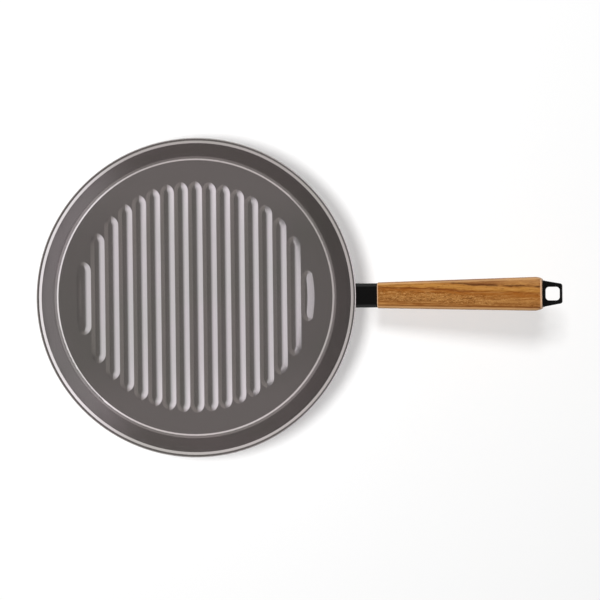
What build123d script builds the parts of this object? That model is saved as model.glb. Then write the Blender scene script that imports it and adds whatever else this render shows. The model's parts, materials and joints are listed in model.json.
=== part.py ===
from build123d import *
import os
from math import cos, radians, sin, sqrt, tan

# Grill pan. Millimetres and degrees. The origin is the centre of the underside, on the plane
# that the pan stands on. +Z is up, the handle points along +X and the ridges run along Y.

# Pan body
rim_diameter = 286
body_height = 45
wall_draft = 17.4
wall_thickness = 2.9
floor_thickness = 4.5
floor_edge_angle = 26
floor_edge_flat = 0.1
floor_corner_radius = 6.8
base_corner_radius = 8

# Rim, which slopes inwards from its crest and has a narrow upright band outside
rim_width = 4.7
rim_fall = 1.6
rim_crest_inset = 2.3
rim_band_depth = 3.6
rim_under_drop = 1.2
rim_edge_radius = 1.2
rim_crest_radius = 0.8
rim_lip_rounding = 0.8
rim_under_radius = 1

# Grill ridges, side by side with a sharp valley between neighbours. Their lines stand a
# little towards the handle, and the circle that their tips reach a little away from it
ridge_pitch = 12.64
ridge_merge = 0.12
ridge_flank_angle = 20.5
ridge_crest_radius = 8
ridge_sink = 1
ridge_shift = 0.5
ridge_nose_offset = 3
ridge_field_margin = 18.7
ridge_field_shift = -0.9
ridge_trim_margin = 3.4
ridge_trim_angle = 16

# Steel plate in the underside, with holes that the body's metal fills
disc_thickness = 1
disc_margin = 19
disc_hole_radius = 2.5
disc_ring_pitch = 18
disc_ring_holes = 6

# Clearances and the overrun of cuts
seat_clearance = 0.1
hole_clearance = 0.25
thread_clearance = 0.05
inner_clearance = 0.5
overrun = 20

# Handle line, a straight axis that rises away from the pan
handle_rise = 10
handle_lift = 0.5

# Flame guard, hollow towards the wall, with a web and a tenon towards the wood
guard_wall = 2
guard_web = 2.5
guard_bevel = 2.6
tenon_width = 13
tenon_height = 10
tenon_length = 9
tenon_edge_radius = 1

# Wooden handle
wood_length = 148.2
wood_overhang = 0.78
wood_far_width = 30.1
wood_far_height = 22
wood_edge_radius = 4.5
wood_bevel = 0.6
wood_corner_length = 7.6
wood_end_margin = 0.4
wood_end_height = 17.6
rod_play = 0.5

# Bracket, a foot on the wall with two cheeks that hold the barrel
foot_thickness = 2.5
foot_edge = 5.5
foot_drop = 14.7
foot_root = 1
cheek_thickness = 2
cheek_rim = 2.05
barrel_radius = 4.5

# Studs, washers and nuts
stud_diameter = 5
stud_tip_length = 1.3
stud_tip_chamfer = 0.6
stud_flange_radius = 3.2
stud_flange_height = 0.8
washer_radius = 4.3
washer_thickness = 1.2
washer_slit = 0.6
nut_sides = 6
nut_across_flats = 8
nut_height = 4
nut_gap = 3
nut_side_room = 1.68

# Tie rod and what holds it at the tail
rod_diameter = 5
rod_tip_length = 2
rod_tip_gap = 2.87
rod_tip_chamfer = 0.6
rod_socket_depth = 10
boss_radius = 5
boss_length = 14
tail_washer_thickness = 1
tail_spring_thickness = 1.4
pin_radius = 1.25
pin_depth = 5

# Hang loop
loop_length = 17.55
loop_root_width = 23.8
loop_tip_width = 17.5
loop_thickness = 5.5
loop_edge_radius = 0.4
loop_corner_radius = 2.2
loop_flange_height = 10
loop_flange_thickness = 1.5
loop_flange_radius = 2
loop_root_bar = 1
loop_side_bar = 2.7
loop_tip_bar = 2.25
eye_corner_radius = 3.2

# Shapes of the wall
draft = radians(wall_draft)
rim_radius = rim_diameter / 2
lip_radius = rim_radius - rim_width
lip_height = body_height - rim_fall
rim_foot_height = body_height - rim_band_depth - rim_under_drop


def inner_radius(height):
    """Radius of the cooking side of the wall at a height."""
    return lip_radius - (lip_height - height) * tan(draft)


def outer_radius(height):
    """Radius of the outside of the wall at a height."""
    return inner_radius(height) + wall_thickness / cos(draft)


# The floor ends in a crease, from which a round corner rises to the wall
corner_turn = radians(90 - wall_draft - floor_edge_angle)
corner_length = floor_corner_radius * tan(corner_turn / 2) + floor_edge_flat
corner_height = floor_thickness + corner_length * sin(radians(floor_edge_angle))
floor_radius = inner_radius(corner_height) - corner_length * cos(radians(floor_edge_angle))
base_radius = outer_radius(0) - base_corner_radius * tan(radians((90 - wall_draft) / 2))

# Places of the ridges and the holes in the steel plate
flank = radians(ridge_flank_angle)
ridge_half_width = ridge_pitch / 2 + ridge_merge
ridge_top = ridge_half_width * tan(flank) - ridge_crest_radius * (1 / cos(flank) - 1)
ridge_field_radius = floor_radius - ridge_field_margin
ridge_reach = sqrt(ridge_field_radius ** 2 - ridge_pitch ** 2) - ridge_shift + ridge_field_shift
ridges_each_side = int(ridge_reach / ridge_pitch)
ridge_trim_radius = ridge_field_radius + ridge_trim_margin
disc_radius = base_radius - disc_margin
disc_ring_count = int((disc_radius - 2 * disc_hole_radius) / disc_ring_pitch)

# Sizes that follow from the fasteners, from the wall outwards
stud_radius = stud_diameter / 2
stud_length = foot_thickness + washer_thickness + nut_height + stud_tip_length
stud_spacing = nut_across_flats + nut_gap
stud_places = [(0, -stud_spacing / 2), (0, stud_spacing / 2)]
foot_height = stud_spacing + 2 * foot_edge
foot_centre_height = rim_foot_height - foot_drop
foot_x = outer_radius(foot_centre_height)
nut_across_corners = nut_across_flats / cos(radians(180 / nut_sides))
bracket_width = nut_across_corners + 2 * (nut_side_room + cheek_thickness)
cheek_end_radius = barrel_radius + cheek_rim
barrel_inset = cheek_end_radius + inner_clearance + guard_web
guard_width = bracket_width + 2 * (inner_clearance + guard_wall)
guard_height = 2 * (cheek_end_radius + inner_clearance + guard_wall)
guard_root_x = foot_x + stud_length
guard_top = foot_centre_height + foot_height / 2 + inner_clearance + guard_wall
guard_bottom = foot_centre_height - foot_height / 2 - inner_clearance - guard_wall
cavity_width = guard_width - 2 * guard_wall
cavity_root_height = guard_top - guard_bottom - 2 * guard_wall
cavity_web_height = guard_height - 2 * guard_wall
cavity_edge_radius = guard_bevel / 2

# Planes of the handle, all through the joint between guard and wood, and the wall's seat
rise = radians(handle_rise)
joint_x = guard_root_x + rod_tip_gap + rod_tip_length + barrel_radius + barrel_inset
joint_z = foot_centre_height + handle_lift + (joint_x - foot_x) * tan(rise)
joint = (joint_x, 0, joint_z)
along = (cos(rise), 0, sin(rise))
upright = (-sin(rise), 0, cos(rise))
downhill = (cos(draft), 0, -sin(draft))
handle_plan = Plane(origin=joint, x_dir=along, z_dir=upright)
handle_side = Plane(origin=joint, x_dir=along, z_dir=(0, -1, 0))
handle_section = Plane(origin=joint, x_dir=(0, 1, 0), z_dir=along)
wall_seat = Plane(origin=(foot_x, 0, foot_centre_height), x_dir=(0, 1, 0), z_dir=downhill)
guard_middle = (guard_root_x, 0, (guard_top + guard_bottom) / 2)
guard_root = Plane(origin=guard_middle, x_dir=(0, 1, 0), z_dir=(1, 0, 0))
barrel_place = (joint_x - barrel_inset * cos(rise), joint_z - barrel_inset * sin(rise))

# Sizes and places along the handle
rod_radius = rod_diameter / 2
rod_bore_radius = rod_radius + rod_play
rod_start = -barrel_inset - barrel_radius - rod_tip_length
boss_start = wood_length - boss_length
tail_floor = boss_start - seat_clearance - tail_spring_thickness - tail_washer_thickness
pin_place = boss_start + pin_depth
wood_near_width = guard_width + 2 * wood_overhang
wood_near_height = guard_height + 2 * wood_overhang
wood_end_width = loop_root_width + 2 * wood_end_margin
wood_shoulder = wood_length - wood_corner_length
eye_start = loop_flange_thickness + loop_root_bar
eye_length = loop_length - eye_start - loop_tip_bar
eye_width = loop_tip_width - 2 * loop_side_bar

# Places of the sections of the wood's rounded tail, as shares of its length
wood_corner_shares = [0, 0.35, 0.6, 0.8, 0.92, 1]


def profile_line(corners):
    """Closed line through corners given as (across, up, rounding)."""
    points = [(across, up) for across, up, rounding in corners]
    return FilletPolyline(*points, radius=[corner[-1] for corner in corners], close=True)


def outer_corners(gap):
    """Corners of the pan's outside, pushed outwards by a gap."""
    return [
        (0, 0, 0),
        (outer_radius(0) + gap, 0, base_corner_radius),
        (outer_radius(rim_foot_height) + gap, rim_foot_height, rim_under_radius),
        (rim_radius + gap, body_height - rim_band_depth, rim_under_radius),
        (rim_radius + gap, body_height, rim_edge_radius),
    ]


def inner_corners():
    """Corners of the rim's crest and of the cooking side."""
    return [
        (rim_radius - rim_crest_inset, body_height, rim_crest_radius),
        (lip_radius, lip_height, rim_lip_rounding),
        (inner_radius(corner_height), corner_height, floor_corner_radius),
        (floor_radius, floor_thickness, 0),
        (0, floor_thickness, 0),
    ]


def pan_envelope(gap):
    """The pan's outside as a full solid, to seat other pieces against the wall."""
    with BuildPart() as envelope:
        with BuildSketch(Plane.XZ):
            with BuildLine():
                profile_line(outer_corners(gap) + [(0, body_height, 0)])
            make_face()
        revolve(axis=Axis.Z)
    return envelope.part


# Grill ridges
def ridge_plane(place, station):
    """Plane across a ridge, on the floor."""
    return Plane(origin=(place, station, floor_thickness), x_dir=(1, 0, 0), z_dir=(0, -1, 0))


def ridge_half_line():
    """Closed line of a broad ridge's right half: sunk root, straight flank, round shoulder and flat top."""
    foot = (ridge_nose_offset + ridge_half_width, 0)
    shoulder = (ridge_nose_offset, ridge_top)
    bend_x = ridge_crest_radius * sin(flank)
    bend = (ridge_nose_offset + bend_x, (ridge_half_width - bend_x) * tan(flank))
    Polyline((0, ridge_top), (0, -ridge_sink), (foot[0], -ridge_sink), foot, bend)
    RadiusArc(bend, shoulder, -ridge_crest_radius)
    Line(shoulder, (0, ridge_top))


def broad_ridge(middle, straight):
    """A ridge with a flat top and half-round ends."""
    with BuildPart() as ridge:
        with BuildSketch(ridge_plane(middle, straight)):
            with BuildLine():
                ridge_half_line()
            make_face()
            mirror(about=Plane.YZ)
        extrude(amount=2 * straight)
        for station in (-straight, straight):
            with BuildSketch(ridge_plane(middle, station)):
                with BuildLine():
                    ridge_half_line()
                make_face()
            revolve(axis=Axis((middle, station, 0), (0, 0, 1)))
    return ridge.part


def ridge_solid(place):
    """One ridge with pointed noses, the flank of a broad ridge and its mirror image.

    Its tips lie on the circle of the ridge field.
    """
    reach = sqrt(ridge_field_radius ** 2 - (place - ridge_field_shift) ** 2)
    straight = reach - sqrt(ridge_half_width ** 2 + 2 * ridge_half_width * ridge_nose_offset)
    with BuildPart() as ridge:
        add(broad_ridge(place - ridge_nose_offset, straight))
        split(bisect_by=Plane.YZ.offset(place), keep=Keep.TOP)
        mirror(about=Plane.YZ.offset(place))
    return ridge.part


def trimmed_ridge(place):
    """An outermost ridge, whose outer flank follows a shallow cone round the field."""
    slope_length = ridge_top / tan(radians(ridge_trim_angle))
    with BuildPart() as ridge:
        add(ridge_solid(place))
        with BuildSketch(Plane(origin=(ridge_field_shift, 0, 0), x_dir=(1, 0, 0), z_dir=(0, -1, 0))):
            with BuildLine():
                Polyline(
                    (0, floor_thickness - ridge_sink),
                    (ridge_trim_radius, floor_thickness - ridge_sink),
                    (ridge_trim_radius, floor_thickness),
                    (ridge_trim_radius - slope_length, floor_thickness + ridge_top),
                    (0, floor_thickness + ridge_top),
                    close=True,
                )
            make_face()
        revolve(axis=Axis((ridge_field_shift, 0, 0), (0, 0, 1)), mode=Mode.INTERSECT)
    return ridge.part


def disc_holes(radius, mode):
    """Circles on the rings of holes in the steel plate."""
    for ring in range(1, disc_ring_count + 1):
        with PolarLocations(ring * disc_ring_pitch, ring * disc_ring_holes):
            Circle(radius, mode=mode)


def guard_line(width, height):
    """Outline of the flame guard's section, a rectangle with bevelled corners."""
    across, up = width / 2, height / 2
    inner_across, inner_up = across - guard_bevel, up - guard_bevel
    Polyline(
        (across, -inner_up), (across, inner_up), (inner_across, up), (-inner_across, up),
        (-across, inner_up), (-across, -inner_up), (-inner_across, -up), (inner_across, -up),
        close=True,
    )


def foot_corners():
    """Corners (x, z) of the bracket's foot, from inside the wall to its outer face."""
    corners = []
    for depth, half in ((-foot_root, -1), (foot_thickness, -1), (foot_thickness, 1), (-foot_root, 1)):
        x = foot_x + depth * cos(draft) + half * foot_height / 2 * sin(draft)
        z = foot_centre_height - depth * sin(draft) + half * foot_height / 2 * cos(draft)
        corners.append((x, z))
    return corners


def wood_section(station):
    """Width and height of the wood at a station, rounded off from the shoulder to the tail."""
    if station <= wood_shoulder:
        share = station / wood_shoulder
        width = wood_near_width + (wood_far_width - wood_near_width) * share
        height = wood_near_height + (wood_far_height - wood_near_height) * share
        return width, height
    rounding_share = 1 - sqrt(1 - min((station - wood_shoulder) / wood_corner_length, 1) ** 2)
    width = wood_far_width + (wood_end_width - wood_far_width) * rounding_share
    height = wood_far_height + (wood_end_height - wood_far_height) * rounding_share
    return width, height


def loop_line():
    """Outline of the hang loop, tapering from the wood to its tip."""
    tip = wood_length + loop_length
    FilletPolyline(
        (wood_length, -loop_root_width / 2), (tip, -loop_tip_width / 2),
        (tip, loop_tip_width / 2), (wood_length, loop_root_width / 2),
        radius=[0, loop_corner_radius, loop_corner_radius, 0],
        close=True,
    )


# Pan body
ridge_steps = range(-ridges_each_side, ridges_each_side + 1)
ridge_places = [ridge_shift + ridge_pitch * step for step in ridge_steps]
ridges = [ridge_solid(place) for place in ridge_places[1:-1]]
ridges += [trimmed_ridge(place) for place in (ridge_places[0], ridge_places[-1])]

with BuildPart() as pan_shell:
    with BuildSketch(Plane.XZ):
        with BuildLine():
            profile_line(outer_corners(0) + inner_corners())
        make_face()
    revolve(axis=Axis.Z)
    with BuildSketch():
        Circle(disc_radius + seat_clearance)
        disc_holes(disc_hole_radius - seat_clearance, Mode.SUBTRACT)
    extrude(amount=disc_thickness, mode=Mode.SUBTRACT)
    add(ridges)
pan_shell.part.label = "pan_shell"

# Steel plate
with BuildPart() as induction_disc:
    with BuildSketch():
        Circle(disc_radius)
        disc_holes(disc_hole_radius, Mode.SUBTRACT)
    extrude(amount=disc_thickness)
induction_disc.part.label = "induction_disc"

# Flame guard
with BuildPart() as guard_cavity:
    with BuildSketch(guard_root):
        RectangleRounded(cavity_width, cavity_root_height, cavity_edge_radius)
    extrude(amount=-overrun)
    with BuildSketch(guard_root):
        RectangleRounded(cavity_width, cavity_root_height, cavity_edge_radius)
    with BuildSketch(handle_section.offset(-guard_web)):
        RectangleRounded(cavity_width, cavity_web_height, cavity_edge_radius)
    loft(ruled=True)

with BuildPart() as flame_guard:
    with BuildSketch(guard_root):
        with BuildLine():
            guard_line(guard_width, guard_top - guard_bottom)
        make_face()
    extrude(amount=-overrun)
    with BuildSketch(guard_root):
        with BuildLine():
            guard_line(guard_width, guard_top - guard_bottom)
        make_face()
    with BuildSketch(handle_section):
        with BuildLine():
            guard_line(guard_width, guard_height)
        make_face()
    loft(ruled=True)
    with BuildSketch(handle_section):
        RectangleRounded(tenon_width, tenon_height, tenon_edge_radius)
    extrude(amount=tenon_length)
    add(guard_cavity.part, mode=Mode.SUBTRACT)
    add(pan_envelope(seat_clearance), mode=Mode.SUBTRACT)
    with BuildSketch(handle_section.offset(-guard_web - inner_clearance)):
        Circle(rod_bore_radius)
    extrude(amount=guard_web + inner_clearance + tenon_length + overrun, mode=Mode.SUBTRACT)
flame_guard.part.label = "flame_guard"

# Bracket
with BuildPart() as handle_bracket:
    with BuildSketch(Plane.XZ):
        with BuildLine():
            Polyline(*foot_corners(), close=True)
        make_face()
        with Locations(barrel_place):
            Circle(cheek_end_radius)
        make_hull()
    extrude(amount=bracket_width / 2, both=True)
    with BuildSketch(wall_seat.offset(foot_thickness)):
        Rectangle(bracket_width - 2 * cheek_thickness, 2 * foot_height)
    extrude(amount=joint_x - foot_x + overrun, mode=Mode.SUBTRACT)
    add(pan_envelope(seat_clearance), mode=Mode.SUBTRACT)
    with BuildSketch(wall_seat):
        with Locations(*stud_places):
            Circle(stud_radius + hole_clearance)
    extrude(amount=2 * foot_thickness, both=True, mode=Mode.SUBTRACT)
    with BuildSketch(wall_seat):
        with Locations(*stud_places):
            Circle(stud_flange_radius + hole_clearance)
    extrude(amount=stud_flange_height + hole_clearance, both=True, mode=Mode.SUBTRACT)
    with BuildSketch(Plane.XZ):
        with Locations(barrel_place):
            Circle(barrel_radius + hole_clearance)
    extrude(amount=bracket_width, both=True, mode=Mode.SUBTRACT)
handle_bracket.part.label = "handle_bracket"

# Studs, washers and nuts
with BuildPart() as weld_studs:
    with BuildSketch(wall_seat.offset(-foot_root)):
        with Locations(*stud_places):
            Circle(stud_radius)
    extrude(amount=foot_root + stud_length)
    chamfer(weld_studs.edges().sort_by(Axis.X)[-len(stud_places):], stud_tip_chamfer)
    with BuildSketch(wall_seat.offset(-foot_root)):
        with Locations(*stud_places):
            Circle(stud_flange_radius)
    extrude(amount=foot_root + stud_flange_height)
    add(pan_envelope(0), mode=Mode.SUBTRACT)
weld_studs.part.label = "weld_studs"

with BuildPart() as stud_washers:
    with BuildSketch(wall_seat.offset(foot_thickness)):
        with Locations(*stud_places):
            Circle(washer_radius)
            Circle(stud_radius + hole_clearance, mode=Mode.SUBTRACT)
        with Locations(*[(washer_radius, up) for across, up in stud_places]):
            Rectangle(2 * (washer_radius - stud_radius) + hole_clearance, washer_slit, mode=Mode.SUBTRACT)
    extrude(amount=washer_thickness)
stud_washers.part.label = "stud_washers"

with BuildPart() as stud_nuts:
    with BuildSketch(wall_seat.offset(foot_thickness + washer_thickness)):
        with Locations(*stud_places):
            RegularPolygon(nut_across_flats / 2, nut_sides, major_radius=False)
            Circle(stud_radius + thread_clearance, mode=Mode.SUBTRACT)
    extrude(amount=nut_height)
stud_nuts.part.label = "stud_nuts"

# Barrel
with BuildPart() as rod_barrel:
    with BuildSketch(Plane.XZ):
        with Locations(barrel_place):
            Circle(barrel_radius)
    extrude(amount=bracket_width / 2, both=True)
    with BuildSketch(handle_section.offset(-barrel_inset)):
        Circle(rod_radius + thread_clearance)
    extrude(amount=2 * barrel_radius, both=True, mode=Mode.SUBTRACT)
rod_barrel.part.label = "rod_barrel"

# Wooden handle
with BuildPart() as wood_handle:
    for station in (0, wood_shoulder):
        with BuildSketch(handle_section.offset(station)):
            RectangleRounded(*wood_section(station), wood_edge_radius)
    loft(ruled=True)
    for share in wood_corner_shares:
        station = wood_shoulder + wood_corner_length * share
        with BuildSketch(handle_section.offset(station)):
            RectangleRounded(*wood_section(station), wood_edge_radius)
    loft()
    chamfer(wood_handle.faces().sort_by(Axis.X)[0].outer_wire().edges(), wood_bevel)
    with BuildSketch(handle_section):
        RectangleRounded(
            tenon_width + 2 * hole_clearance,
            tenon_height + 2 * hole_clearance,
            tenon_edge_radius + hole_clearance,
        )
    extrude(amount=tenon_length + hole_clearance, mode=Mode.SUBTRACT)
    with BuildSketch(handle_section):
        Circle(rod_bore_radius)
    extrude(amount=wood_length + overrun, mode=Mode.SUBTRACT)
    with BuildSketch(handle_section.offset(tail_floor)):
        Circle(boss_radius + rod_play)
    extrude(amount=wood_length, mode=Mode.SUBTRACT)
wood_handle.part.label = "wood_handle"

# Tie rod
with BuildPart() as tie_rod:
    with BuildSketch(handle_section.offset(rod_start)):
        Circle(rod_radius)
    extrude(amount=boss_start + rod_socket_depth - rod_start - seat_clearance)
    chamfer(tie_rod.edges().filter_by(GeomType.CIRCLE), rod_tip_chamfer)
    with BuildSketch(handle_side):
        with Locations((pin_place, 0)):
            Circle(pin_radius + thread_clearance)
    extrude(amount=boss_radius, both=True, mode=Mode.SUBTRACT)
tie_rod.part.label = "tie_rod"

# Tail washer, spring and pin
with BuildPart() as tail_washer:
    with BuildSketch(handle_section.offset(tail_floor)):
        Circle(boss_radius)
        Circle(rod_radius + hole_clearance, mode=Mode.SUBTRACT)
    extrude(amount=tail_washer_thickness)
tail_washer.part.label = "tail_washer"

with BuildPart() as tail_spring:
    with BuildSketch(handle_section.offset(tail_floor + tail_washer_thickness)):
        Circle(washer_radius)
        Circle(rod_radius + hole_clearance, mode=Mode.SUBTRACT)
        with Locations((washer_radius, 0)):
            Rectangle(2 * (washer_radius - rod_radius) + hole_clearance, washer_slit, mode=Mode.SUBTRACT)
    extrude(amount=tail_spring_thickness)
tail_spring.part.label = "tail_spring"

with BuildPart() as rod_pin:
    with BuildSketch(handle_side):
        with Locations((pin_place, 0)):
            Circle(pin_radius)
    extrude(amount=sqrt(boss_radius ** 2 - pin_radius ** 2), both=True)
rod_pin.part.label = "rod_pin"

# Hang loop
with BuildPart() as hang_loop:
    with BuildSketch(handle_plan):
        with BuildLine():
            loop_line()
        make_face()
        with Locations((wood_length + eye_start + eye_length / 2, 0)):
            RectangleRounded(eye_length, eye_width, eye_corner_radius, mode=Mode.SUBTRACT)
    extrude(amount=loop_thickness / 2, both=True)
    fillet(hang_loop.faces().filter_by(handle_plan).edges(), loop_edge_radius)
    with BuildSketch(handle_section.offset(wood_length)):
        RectangleRounded(loop_root_width, loop_flange_height, loop_flange_radius)
    extrude(amount=loop_flange_thickness)
    with BuildSketch(handle_section.offset(boss_start)):
        Circle(boss_radius)
    extrude(amount=boss_length)
    with BuildSketch(handle_section.offset(boss_start)):
        Circle(rod_radius + thread_clearance)
    extrude(amount=rod_socket_depth, mode=Mode.SUBTRACT)
    with BuildSketch(handle_side):
        with Locations((pin_place, 0)):
            Circle(pin_radius + thread_clearance)
    extrude(amount=2 * boss_radius, both=True, mode=Mode.SUBTRACT)
hang_loop.part.label = "hang_loop"

pieces = [
    pan_shell, induction_disc, weld_studs, handle_bracket, stud_washers, stud_nuts, rod_barrel,
    flame_guard, wood_handle, tie_rod, tail_washer, tail_spring, hang_loop, rod_pin,
]
os.makedirs("parts", exist_ok=True)
for piece in pieces:
    export_step(piece.part, f"parts/{piece.part.label}.step")
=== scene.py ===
import json
import math

import bpy
from mathutils import Matrix, Vector

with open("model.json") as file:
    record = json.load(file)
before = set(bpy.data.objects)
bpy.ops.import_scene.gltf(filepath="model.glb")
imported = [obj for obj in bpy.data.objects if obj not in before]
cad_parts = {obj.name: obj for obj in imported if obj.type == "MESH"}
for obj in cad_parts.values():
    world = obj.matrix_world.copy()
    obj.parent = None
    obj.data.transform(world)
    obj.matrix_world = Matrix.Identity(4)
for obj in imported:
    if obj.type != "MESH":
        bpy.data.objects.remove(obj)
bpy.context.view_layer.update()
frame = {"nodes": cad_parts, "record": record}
nodes = frame["nodes"]
mounts = {mount["name"]: mount for mount in frame["record"]["mounts"]}

# The handle's straight axis. It starts where the wood meets the flame guard and rises through the hang eye
EYE_FROM_START = 0.1571
RISE = -math.asin(mounts["hang_eye"]["axis"][0])
HANDLE_AXIS = Vector((math.cos(RISE), 0.0, math.sin(RISE)))
HANDLE_START = Vector(mounts["hang_eye"]["pos_m"]) - EYE_FROM_START * HANDLE_AXIS


# Node helpers. A colour ramp runs from 0 to 1
RAMP_MIDDLE = 0.5


class Graph:
    """Short calls that add and link shader nodes in one tree."""

    def __init__(self, tree):
        self.tree = tree
        tree.nodes.clear()

    def node(self, kind, **settings):
        made = self.tree.nodes.new(kind)
        for name, value in settings.items():
            setattr(made, name, value)
        return made

    def put(self, socket, value):
        """Links an output to the socket, or sets its value."""
        if isinstance(value, bpy.types.NodeSocket):
            self.tree.links.new(value, socket)
        else:
            socket.default_value = value

    def math(self, operation, a, b=0.0, c=0.0, clamp=False):
        made = self.node("ShaderNodeMath", operation=operation, use_clamp=clamp)
        for socket, value in zip(made.inputs, (a, b, c)):
            self.put(socket, value)
        return made.outputs[0]

    def plus(self, a, b):
        return self.math("ADD", a, b)

    def minus(self, a, b):
        return self.math("SUBTRACT", a, b)

    def times(self, a, *others):
        for b in others:
            a = self.math("MULTIPLY", a, b)
        return a

    def line(self, value, slope, start):
        """Value times slope, plus start."""
        return self.math("MULTIPLY_ADD", value, slope, start)

    def size(self, value):
        """Value without its sign."""
        return self.math("ABSOLUTE", value)

    def radius(self, x, y):
        return self.math("SQRT", self.plus(self.times(x, x), self.times(y, y)))

    def step(self, value, low, high, out_low=0.0, out_high=1.0):
        """Smooth step of a value from low to high."""
        made = self.node("ShaderNodeMapRange", interpolation_type="SMOOTHSTEP")
        sockets = ("Value", "From Min", "From Max", "To Min", "To Max")
        for name, item in zip(sockets, (value, low, high, out_low, out_high)):
            self.put(made.inputs[name], item)
        return made.outputs["Result"]

    def stripe(self, value, middle, inner, outer, level=1.0):
        """The level where the value is within inner of the middle, and nothing beyond outer."""
        return self.step(self.size(self.minus(value, middle)), inner, outer, level, 0.0)

    def blend(self, factor, a, b):
        """Number between a and b."""
        made = self.node("ShaderNodeMix", data_type="FLOAT")
        for socket, value in zip((made.inputs[0], made.inputs[2], made.inputs[3]), (factor, a, b)):
            self.put(socket, value)
        return made.outputs[0]

    def mix(self, factor, a, b, kind="MIX"):
        """Colour between a and b, or another mix of them."""
        made = self.node("ShaderNodeMix", data_type="RGBA", blend_type=kind)
        for name, value in (("Factor", factor), ("A", a), ("B", b)):
            self.put(made.inputs[name], value)
        return made.outputs["Result"]

    def ramp(self, factor, stops):
        made = self.node("ShaderNodeValToRGB")
        band = made.color_ramp
        while len(band.elements) < len(stops):
            band.elements.new(RAMP_MIDDLE)
        for element, (place, color) in zip(band.elements, stops):
            element.position = place
            element.color = color
        self.put(made.inputs["Fac"], factor)
        return made.outputs["Color"]

    def noise(self, vector, scale, detail=2.0, roughness=0.5, distortion=0.0):
        made = self.node("ShaderNodeTexNoise")
        settings = (
            ("Vector", vector), ("Scale", scale), ("Detail", detail),
            ("Roughness", roughness), ("Distortion", distortion),
        )
        for name, value in settings:
            self.put(made.inputs[name], value)
        return made.outputs["Fac"]

    def place(self, location=(0, 0, 0), rotation=(0, 0, 0), scale=(1, 1, 1), source=None, kind="POINT"):
        """Coordinates of the object, or of the source, moved, turned and stretched."""
        if source is None:
            source = self.node("ShaderNodeTexCoord").outputs["Object"]
        made = self.node("ShaderNodeMapping", vector_type=kind)
        settings = (("Vector", source), ("Location", location), ("Rotation", rotation), ("Scale", scale))
        for name, value in settings:
            self.put(made.inputs[name], value)
        return made.outputs["Vector"]

    def split(self, vector):
        made = self.node("ShaderNodeSeparateXYZ")
        self.put(made.inputs[0], vector)
        return made.outputs[:]

    def join(self, x=0.0, y=0.0, z=0.0):
        made = self.node("ShaderNodeCombineXYZ")
        for socket, value in zip(made.inputs, (x, y, z)):
            self.put(socket, value)
        return made.outputs[0]

    def bump(self, height, distance, strength):
        made = self.node("ShaderNodeBump")
        for name, value in (("Height", height), ("Distance", distance), ("Strength", strength)):
            self.put(made.inputs[name], value)
        return made.outputs["Normal"]


def material(name, metallic=0.0):
    """A new material with its graph and its shader."""
    made = bpy.data.materials.new(name)
    made.use_nodes = True
    graph = Graph(made.node_tree)
    shader = graph.node("ShaderNodeBsdfPrincipled")
    shader.inputs["Metallic"].default_value = metallic
    output = graph.node("ShaderNodeOutputMaterial")
    graph.tree.links.new(shader.outputs[0], output.inputs["Surface"])
    return made, graph, shader


def dress(node, finish):
    """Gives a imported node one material."""
    slots = nodes[node].material_slots
    slots[0].link = "OBJECT"
    slots[0].material = finish


def grey(value):
    return (value, value, value, 1.0)


# The usual curve of a screen, from levels of 0 to 255 to linear light
SCREEN_WHITE = 255
SCREEN_FOOT = 0.055
SCREEN_POWER = 2.4


def seen(*levels):
    """A colour given by its red, green and blue levels on a screen."""
    shares = [(level / SCREEN_WHITE + SCREEN_FOOT) / (1 + SCREEN_FOOT) for level in levels]
    return (*(share ** SCREEN_POWER for share in shares), 1.0)


# Ranges over which a noise is stepped. Its values lie mostly between 0.2 and 0.8, round its middle
NOISE_WIDE = (0.2, 0.8)
NOISE_MEDIUM = (0.3, 0.7)
NOISE_NARROW = (0.35, 0.65)
NOISE_MIDDLE = 0.5

# Grey ceramic coating of the body. A noise is given as its scale, detail and roughness, and a bump as its
# depth and strength
COATING_GREY = (0.36, 0.34, 0.335, 1)
COATING_CLOUDS = ((0.345, 0.335, 0.32, 1), (0.38, 0.345, 0.35, 1))
COATING_SHEEN = 0.9
COATING_TINT = 0.75
COATING_ROUGHNESS = (0.17, 0.22)
CLOUD_NOISE = (14.0, 3.0, 0.6)
SPECK_NOISE = (2600.0, 1.0)
SPECK_BUMP = (0.00002, 0.25)
# Painted light: the pan's floor gets paler towards both ends of the ridges, for brighter reflections. It is
# told from the wall by its height
PAINTED_LIGHT_GREY = (0.46, 0.42, 0.425, 1)
PAINTED_LIGHT_SHARE = 0.7
PAINTED_LIGHT_FROM, PAINTED_LIGHT_FULL = 0.050, 0.100
FLOOR_HEIGHT, FLOOR_HEIGHT_END = 0.0050, 0.0060


def coating():
    made, g, shader = material("pan_coating_look", COATING_SHEEN)
    place = g.place()
    cloud = g.noise(place, *CLOUD_NOISE)
    speck = g.noise(place, *SPECK_NOISE)
    color = g.mix(g.step(cloud, *NOISE_NARROW), *COATING_CLOUDS)
    color = g.mix(g.step(speck, *NOISE_MEDIUM), color, COATING_GREY)
    y, z = g.split(place)[1:]
    # Painted light: a paler floor towards the ridges' ends
    painted_light = g.times(g.step(g.size(y), PAINTED_LIGHT_FROM, PAINTED_LIGHT_FULL), g.step(z, FLOOR_HEIGHT_END, FLOOR_HEIGHT))
    color = g.mix(g.times(painted_light, PAINTED_LIGHT_SHARE), color, PAINTED_LIGHT_GREY)
    g.put(shader.inputs["Base Color"], color)
    g.put(shader.inputs["Specular Tint"], grey(COATING_TINT))
    g.put(shader.inputs["Roughness"], g.step(speck, *NOISE_WIDE, *COATING_ROUGHNESS))
    g.put(shader.inputs["Normal"], g.bump(speck, *SPECK_BUMP))
    return made


# Plain steel, with a fine grain across the part's height
STEEL_NOISE = (420.0, 2.0, 0.55)
STEEL_STRETCH = 8
STEEL_SHADES = (0.85, 1.10)
STEEL_ROUGHNESS_DROP, STEEL_ROUGHNESS_RISE = 0.06, 0.08
# Shade and roughness
FASTENER_STEEL = (0.55, 0.32)
BRACKET_STEEL = (0.50, 0.36)


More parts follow.
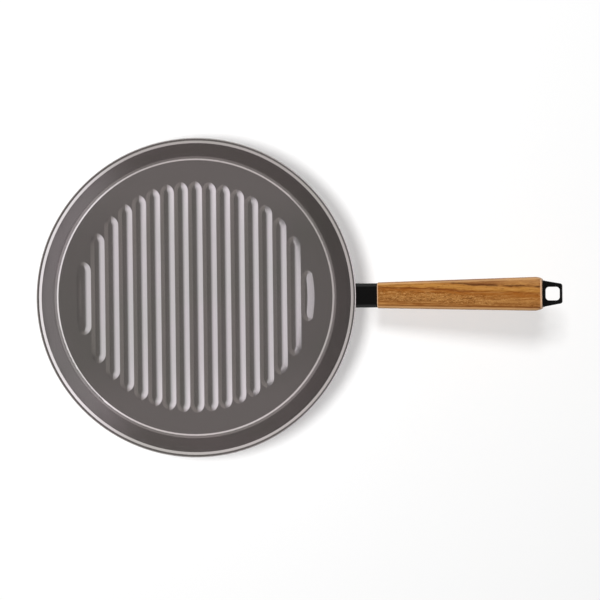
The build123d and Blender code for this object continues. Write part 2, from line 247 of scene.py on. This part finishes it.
def steel(name, shade, roughness):
    made, g, shader = material(name, 1.0)
    grain = g.noise(g.place(scale=(1, 1, STEEL_STRETCH)), *STEEL_NOISE)
    dark, light = (grey(shade * share) for share in STEEL_SHADES)
    g.put(shader.inputs["Base Color"], g.mix(grain, dark, light))
    smooth, rough = roughness - STEEL_ROUGHNESS_DROP, roughness + STEEL_ROUGHNESS_RISE
    g.put(shader.inputs["Roughness"], g.step(grain, *NOISE_WIDE, smooth, rough))
    return made


# Steel plate of the underside, turned in fine rings
RING_NOISE = (1400.0, 3.0, 0.7)
RING_SHADES = (0.34, 0.58)
RING_ROUGHNESS = (0.28, 0.42)
RING_BUMP = (0.00004, 0.4)


def turned_steel():
    made, g, shader = material("disc_steel_look", 1.0)
    x, y = g.split(g.place())[:2]
    rings = g.noise(g.join(g.radius(x, y)), *RING_NOISE)
    dark, light = (grey(shade) for shade in RING_SHADES)
    g.put(shader.inputs["Base Color"], g.mix(g.step(rings, *NOISE_MEDIUM), dark, light))
    g.put(shader.inputs["Roughness"], g.step(rings, *NOISE_WIDE, *RING_ROUGHNESS))
    g.put(shader.inputs["Normal"], g.bump(rings, *RING_BUMP))
    return made


# Satin black coating of the guard and the hang loop
BLACK = 0.0018
BLACK_SHADES = (0.7, 1.4)
BLACK_GLOSS = 0.20
BLACK_ROUGHNESS = (0.29, 0.39)
BLACK_NOISE = (1500.0, 2.0, 0.6)
BLACK_BUMP = (0.00003, 0.3)


def black(name):
    made, g, shader = material(name)
    grain = g.noise(g.place(), *BLACK_NOISE)
    dark, light = (grey(BLACK * share) for share in BLACK_SHADES)
    g.put(shader.inputs["Base Color"], g.mix(grain, dark, light))
    g.put(shader.inputs["Roughness"], g.step(grain, *NOISE_WIDE, *BLACK_ROUGHNESS))
    g.put(shader.inputs["Specular IOR Level"], BLACK_GLOSS)
    g.put(shader.inputs["Normal"], g.bump(grain, *BLACK_BUMP))
    return made


# Oiled hardwood. Its sizes are those of the part, along, across and above the handle's axis
WOOD_LENGTH = 0.1482
WOOD_SHOULDER = 0.1406
WOOD_TOP = 0.0105
WOOD_NEAR_HALF = 0.01158
WOOD_FAR_HALF = 0.01505

# Colours of its bands, from the lower edge of the handle to the upper one, and the width that they share
WOOD_BANDS = (
    (0.00, (180, 128, 72)),
    (0.12, (176, 120, 62)),
    (0.17, (140, 86, 38)),
    (0.23, (152, 98, 46)),
    (0.35, (174, 119, 62)),
    (0.42, (160, 102, 46)),
    (0.57, (158, 94, 34)),
    (0.63, (150, 88, 32)),
    (0.69, (188, 130, 62)),
    (0.77, (192, 134, 64)),
    (0.83, (166, 108, 50)),
    (1.00, (180, 128, 76)),
)
BAND_SPAN = 0.028

# A grain is a noise, given as its turns in a metre along and across the handle, then its detail, roughness
# and distortion. The waves of the bands have their depth first
WAVE_GRAINS = ((0.0036, (22, 60)), (0.0030, (90, 300, 2.0, 0.6)))
GAP_GRAIN = (70, 200, 2.0, 0.6)
FLECK_GRAIN = (320, 720, 2.0, 0.65, 1.4)
FIBRE_GRAIN = (30, 700, 4.0, 0.7)
DASH_GRAIN = (120, 900, 2.0, 0.6)
PORE_GRAIN = (300, 1500, 1.0)
KNOT_GRAIN = (190, 330, 0.0)

# The bands cross the handle slowly, meet its middle at one place along it, and lean with the depth
BAND_SLOPE = 0.045
BAND_CROSSING = 0.080
BAND_LEAN = 0.15

# Streaks: place across the bands, half width where full and half width where it ends. Then where along the
# handle each one starts to change and ends, and its strength at those two places
BROWN_STREAK = (0.0037, 0.0004, 0.0014)
BROWN_ALONG = (0.080, 0.115, 0.75, 0.2)
BROWN_SHADE = (122, 64, 20)
DARK_STREAK = (0.0100, 0.0003, 0.0012)
DARK_ALONG = (0.035, 0.060, 0.0, 0.9)
DARK_GAPS = (0.30, 0.50)
DARK_SHADE = (78, 36, 10)
RED_EDGE = (0.0100, 0.0110)
RED_ALONG = (0.095, 0.125, 0.7, 0.0)
RED_SHADE = (120, 70, 40)

# Curled flecks: where across the bands they start and end, and how they get fewer along the handle
FLECKS_LOW = (-0.0095, -0.0070)
FLECKS_HIGH = (-0.0002, 0.0022, 1.0, 0.0)
FLECKS_ALONG = (0.085, 0.125, 1.0, 0.45)

# For each tone: the noise where it starts and where it is full, its share, and its shade
FLECK_TONES = (
    (0.52, 0.66, 0.75, (208, 158, 96)),
    (0.48, 0.36, 0.75, (100, 58, 22)),
)
FIBRE_TONES = (
    (0.51, 0.68, 0.55, (112, 58, 18)),
    (0.49, 0.32, 0.45, (210, 156, 90)),
)
DASH_TONES = (
    (0.55, 0.70, 0.45, (116, 64, 22)),
    (0.45, 0.32, 0.40, (206, 152, 88)),
)
PORE_TONES = ((0.66, 0.74, 0.50, (86, 42, 12)),)
KNOT_TONES = ((0.82, 0.87, 0.80, (96, 44, 12)),)

# Painted edge and end highlights, told by the distance inside the outline, above the axis and from the middle
EDGE_ABOVE = (0.0050, 0.0065)
SIDE_FADE = 0.001
EDGE_OUTER = (0.0004, 0.0009)
EDGE_INNER = (0.0026, 0.0016)
EDGE_HIGHLIGHT_SHARES = (0.75, 0.65)
EDGE_HIGHLIGHT_COLOUR = (224, 174, 120)
# Painted shade line inside the lower rounded side: its place, half widths and strength
EDGE_SHADE_LINE = (0.0031, 0.0002, 0.0007, 0.7)
EDGE_SHADE_LINE_COLOUR = (112, 62, 24)
NEAR_END = (0.0010, 0.0006)
FAR_END = (WOOD_LENGTH - 0.0016, WOOD_LENGTH - 0.0012)
END_HIGHLIGHT_SHARE = 0.85
END_HIGHLIGHT_COLOUR = (240, 196, 158)

WOOD_LEVEL = 0.90
WOOD_GLOSS = 0.3
WOOD_ROUGHNESS = (0.42, 0.56)
WOOD_BUMP = (0.00008, 0.35)
PORE_DENTS = (0.62, 0.74, 0.0, 0.8)


class Wood:
    """Layers of the wood's colour. s runs along the handle, w across it and t up from its axis."""

    def __init__(self, g):
        self.g = g
        self.turned = g.place(location=HANDLE_START, rotation=(0, -RISE, 0), kind="TEXTURE")
        self.s, self.w, self.t = g.split(self.turned)
        self.drift = self.make_drift()
        band = g.line(self.drift, 1 / BAND_SPAN, RAMP_MIDDLE)
        self.color = g.ramp(band, [(place, seen(*shade)) for place, shade in WOOD_BANDS])
        self.fibres = self.grain(*FIBRE_GRAIN)
        self.pores = self.grain(*PORE_GRAIN)

    def grain(self, along, across, detail=2.0, roughness=0.5, distortion=0.0):
        """Noise stretched along the handle."""
        stretched = self.g.place(scale=(along, across, across), source=self.turned)
        return self.g.noise(stretched, 1.0, detail, roughness, distortion)

    def make_drift(self):
        """Place across the bands, in metres from the middle one."""
        g = self.g
        drift = g.line(g.minus(self.s, BAND_CROSSING), BAND_SLOPE, self.w)
        for depth, grain in WAVE_GRAINS:
            drift = g.line(g.minus(self.grain(*grain), NOISE_MIDDLE), depth, drift)
        return g.line(g.minus(self.t, WOOD_TOP), BAND_LEAN, drift)

    def tone(self, factor, shade):
        """Mixes one shade over the colour so far."""
        self.color = self.g.mix(factor, self.color, seen(*shade))

    def tones(self, noise, table, mask=None):
        """Mixes in a table's shades where the noise is high or low."""
        for start, full, share, shade in table:
            factor = self.g.step(noise, start, full, 0.0, share)
            if mask is not None:
                factor = self.g.times(mask, factor)
            self.tone(factor, shade)

    def streaks(self):
        """A brown streak above the middle, and a dark one near the upper edge, broken near the tail."""
        g = self.g
        brown = g.times(g.stripe(self.drift, *BROWN_STREAK), g.step(self.s, *BROWN_ALONG))
        self.tone(brown, BROWN_SHADE)
        red = g.times(g.step(self.drift, *RED_EDGE), g.step(self.s, *RED_ALONG))
        self.tone(red, RED_SHADE)
        gaps = g.step(self.grain(*GAP_GRAIN), *DARK_GAPS)
        dark = g.times(g.stripe(self.drift, *DARK_STREAK), g.step(self.s, *DARK_ALONG), gaps)
        self.tone(dark, DARK_SHADE)

    def flecks(self):
        """Small curled flecks along the middle, fewer towards the tail."""
        g = self.g
        middle = g.times(g.step(self.drift, *FLECKS_LOW), g.step(self.drift, *FLECKS_HIGH))
        middle = g.times(middle, g.step(self.s, *FLECKS_ALONG))
        self.tones(self.grain(*FLECK_GRAIN), FLECK_TONES, middle)

    def lines(self):
        """Long fibres, short dashes, fine pores and a few larger ones."""
        self.tones(self.fibres, FIBRE_TONES)
        self.tones(self.grain(*DASH_GRAIN), DASH_TONES)
        self.tones(self.pores, PORE_TONES)
        self.tones(self.grain(*KNOT_GRAIN), KNOT_TONES)

    def edges(self):
        """Painted highlights on the rounded sides and the ends, with a thin painted shade line inside the
        lower side.
        """
        g = self.g
        share = g.math("DIVIDE", self.s, WOOD_SHOULDER, clamp=True)
        half = g.line(share, WOOD_FAR_HALF - WOOD_NEAR_HALF, WOOD_NEAR_HALF)
        inside = g.minus(half, g.size(self.w))
        above = g.step(self.t, *EDGE_ABOVE)
        # Painted shade line inside the lower rounded side
        line = g.times(g.stripe(inside, *EDGE_SHADE_LINE), g.step(self.w, 0.0, -SIDE_FADE))
        self.tone(g.times(line, above), EDGE_SHADE_LINE_COLOUR)
        # Painted highlight along the rounded sides
        edge_highlight = g.times(g.step(inside, *EDGE_INNER), g.step(inside, *EDGE_OUTER))
        edge_highlight = g.times(edge_highlight, g.step(self.w, -SIDE_FADE, SIDE_FADE, *EDGE_HIGHLIGHT_SHARES))
        self.tone(g.times(edge_highlight, above), EDGE_HIGHLIGHT_COLOUR)
        # Painted highlights on both ends
        end_highlight = g.math("MAXIMUM", g.step(self.s, *NEAR_END), g.step(self.s, *FAR_END))
        self.tone(g.times(end_highlight, END_HIGHLIGHT_SHARE), END_HIGHLIGHT_COLOUR)


def wood():
    made, g, shader = material("handle_wood_look")
    figure = Wood(g)
    figure.streaks()
    figure.flecks()
    figure.lines()
    # Painted highlights and shade on the rounded edges and ends
    figure.edges()
    g.put(shader.inputs["Base Color"], g.mix(1.0, figure.color, grey(WOOD_LEVEL), "MULTIPLY"))
    g.put(shader.inputs["Roughness"], g.step(figure.fibres, *NOISE_MEDIUM, *WOOD_ROUGHNESS))
    g.put(shader.inputs["Specular IOR Level"], WOOD_GLOSS)
    height = g.minus(figure.fibres, g.step(figure.pores, *PORE_DENTS))
    g.put(shader.inputs["Normal"], g.bump(height, *WOOD_BUMP))
    return made


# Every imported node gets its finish
FASTENERS = (
    "weld_studs", "stud_washers", "stud_nuts", "rod_barrel",
    "tie_rod", "tail_washer", "tail_spring", "rod_pin",
)
dress("pan_shell", coating())
dress("induction_disc", turned_steel())
fastener_look = steel("fastener_steel_look", *FASTENER_STEEL)
for fastener in FASTENERS:
    dress(fastener, fastener_look)
dress("handle_bracket", steel("bracket_steel_look", *BRACKET_STEEL))
dress("flame_guard", black("guard_black_look"))
dress("hang_loop", black("loop_black_look"))
dress("wood_handle", wood())

# Floor, a little below the base, so that the two don't share a plane
FLOOR_HALF = 30.0
FLOOR_DROP = 0.0002
FLOOR_SHADE = 0.93
FLOOR_GLOW = 0.075


def make_floor():
    """Pale floor that keeps the shadow and is lifted to white for the camera and for reflections."""
    corners = [(FLOOR_HALF * x, FLOOR_HALF * y, 0) for x, y in ((-1, -1), (1, -1), (1, 1), (-1, 1))]
    mesh = bpy.data.meshes.new("floor")
    mesh.from_pydata(corners, [], [(0, 1, 2, 3)])
    floor = bpy.data.objects.new("floor", mesh)
    floor.location.z = -FLOOR_DROP
    bpy.context.scene.collection.objects.link(floor)
    made, g, shader = material("floor_look")
    g.put(shader.inputs["Base Color"], grey(FLOOR_SHADE))
    g.put(shader.inputs["Roughness"], 1.0)
    g.put(shader.inputs["Specular IOR Level"], 0.0)
    path = g.node("ShaderNodeLightPath")
    direct = g.math("MAXIMUM", path.outputs["Is Camera Ray"], path.outputs["Is Glossy Ray"])
    direct = g.math("MAXIMUM", direct, path.outputs["Is Transmission Ray"])
    g.put(shader.inputs["Emission Color"], grey(1.0))
    g.put(shader.inputs["Emission Strength"], g.times(direct, FLOOR_GLOW))
    mesh.materials.append(made)


make_floor()

# Studio. Heights are sines of the elevation, so 1 is straight overhead
WORLD_LEVEL = 0.06
FLAT_LEAST = 0.001
# Red, green and blue of the warm ceiling and of the cool softbox
WARM_COOL = ((1.0, 0.98), (0.94, 1.0), (0.89, 1.08))
# The ceiling's level, how much dimmer it is behind the pan, and its levels at its lower edge and overhead
CEILING = 0.40
CEILING_BEHIND = -0.24
CEILING_EDGE = 0.43
CEILING_EDGE_HEIGHT = (0.765, 0.805)
OVERHEAD = 0.20
OVERHEAD_HEIGHT = (0.84, 0.97)
# The bright walls' level and top, and what each gains at +Y
WALL_LEVEL, WALL_LEVEL_GAIN = 0.80, 0.25
WALL_TOP, WALL_TOP_GAIN = 0.60, 0.03
WALL_FADE = 0.06
# The softbox: where each part starts to fade on the way up, where it ends, and its level. Then the steps at
# its foot and at its sides
SOFTBOX_PARTS = ((0.90, 0.975, 0.77), (0.68, 0.86, 0.65))
SOFTBOX_FOOT = (0.36, 0.56, 0.72, 1.0)
SOFTBOX_SIDES = (0.40, 0.82)


def ceiling(g, z, ahead):
    """Dim ceiling, dimmest on the side away from the handle."""
    behind = g.math("MAXIMUM", g.times(ahead, -1.0), 0.0)
    level = g.line(behind, CEILING_BEHIND, CEILING)
    level = g.blend(g.step(z, *CEILING_EDGE_HEIGHT), CEILING_EDGE, level)
    return g.blend(g.step(z, *OVERHEAD_HEIGHT), level, OVERHEAD)


def walls(g, z, aside):
    """Bright walls of the room, up to some 35 degrees, a little brighter and higher at +Y."""
    bright = g.math("MAXIMUM", aside, 0.0)
    top = g.line(bright, WALL_TOP_GAIN, WALL_TOP)
    level = g.step(z, g.minus(top, WALL_FADE), top, 1.0, 0.0)
    return g.times(level, g.line(bright, WALL_LEVEL_GAIN, WALL_LEVEL))


def softbox(g, z, ahead):
    """Large softbox on the handle's side, brightest in its lower part and fading at its foot."""
    upper, lower = (g.step(z, start, end, level, 0.0) for start, end, level in SOFTBOX_PARTS)
    return g.times(g.plus(upper, lower), g.step(ahead, *SOFTBOX_SIDES), g.step(z, *SOFTBOX_FOOT))


def make_world():
    """White for the camera and through glass, and a soft room with a softbox for reflections."""
    world = bpy.data.worlds.new("studio")
    bpy.context.scene.world = world
    world.use_nodes = True
    g = Graph(world.node_tree)
    output = g.node("ShaderNodeOutputWorld")
    x, y, z = g.split(g.node("ShaderNodeTexCoord").outputs["Generated"])
    flat = g.math("MAXIMUM", g.radius(x, y), FLAT_LEAST)
    ahead = g.math("DIVIDE", x, flat)
    aside = g.math("DIVIDE", y, flat)
    dim = ceiling(g, z, ahead)
    low = walls(g, z, aside)
    soft = softbox(g, z, ahead)
    channels = [g.plus(low, g.plus(g.times(dim, warm), g.times(soft, cool))) for warm, cool in WARM_COOL]
    path = g.node("ShaderNodeLightPath")
    direct = g.plus(path.outputs["Is Camera Ray"], path.outputs["Is Transmission Ray"])
    plain = g.line(path.outputs["Is Diffuse Ray"], WORLD_LEVEL, direct)
    background = g.node("ShaderNodeBackground")
    color = g.mix(path.outputs["Is Glossy Ray"], g.join(plain, plain, plain), g.join(*channels))
    g.put(background.inputs["Color"], color)
    g.tree.links.new(background.outputs[0], output.inputs["Surface"])


make_world()

# Lamps: slope from the vertical, width of the disk, level on an upward floor, and the nodes whose shadow each
# one casts
LAMP_AIM = Vector((0.09, 0.0, 0.0))
LAMP_DISTANCE = 3.0
LAMPS = {
    "key_lamp": ((-0.32, 0.0), 0.9, 0.64, ("pan_shell",)),
    "side_lamp": ((0.0, 0.49), 0.8, 0.34, ("wood_handle", "hang_loop")),
}


def make_lamp(name, slope, width, level, blockers):
    """A round soft lamp that gives an upward floor the level.

    A disk's radiance is its power over pi times its area, and the floor's level is its irradiance over pi.
    """
    lamp = bpy.data.lights.new(name, "AREA")
    lamp.shape = "DISK"
    lamp.size = width
    direction = Vector((slope[0], slope[1], 1.0)).normalized()
    lamp.energy = level * math.pi * math.pi * LAMP_DISTANCE ** 2 / direction.z
    item = bpy.data.objects.new(name, lamp)
    bpy.context.scene.collection.objects.link(item)
    item.location = LAMP_AIM + direction * LAMP_DISTANCE
    item.rotation_mode = "QUATERNION"
    item.rotation_quaternion = direction.to_track_quat("Z", "Y")
    item.visible_glossy = False
    group = bpy.data.collections.new(name + "_blockers")
    for node in blockers:
        group.objects.link(nodes[node])
    item.light_linking.blocker_collection = group


for lamp_name, lamp_facts in LAMPS.items():
    make_lamp(lamp_name, *lamp_facts)

# Camera: a long lens almost straight above the pan, leaning and rolled a little
VIEW_POINT = Vector((0.09254, -0.00315, 0.045))
VIEW_DISTANCE = 4.0
VIEW_LEAN = (-0.0465, 0.0146)
VIEW_ROLL = math.radians(0.67)
LENS = 268.34
SENSOR = 36.0
CLIP_END = 100.0


def make_camera():
    camera = bpy.data.cameras.new("camera")
    camera.sensor_width = SENSOR
    camera.lens = LENS
    camera.clip_end = CLIP_END
    item = bpy.data.objects.new("camera", camera)
    bpy.context.scene.collection.objects.link(item)
    place = VIEW_POINT + VIEW_DISTANCE * Vector((VIEW_LEAN[0], VIEW_LEAN[1], 1.0))
    back = (place - VIEW_POINT).normalized()
    right = Vector((0, 1, 0)).cross(back).normalized()
    up = back.cross(right)
    rolled_right = right * math.cos(VIEW_ROLL) - up * math.sin(VIEW_ROLL)
    rolled_up = right * math.sin(VIEW_ROLL) + up * math.cos(VIEW_ROLL)
    turn = Matrix((rolled_right, rolled_up, back)).transposed().to_4x4()
    item.matrix_world = Matrix.Translation(place) @ turn
    bpy.context.scene.camera = item


make_camera()
bpy.context.scene.view_settings.view_transform = "Standard"

bpy.context.view_layer.update()
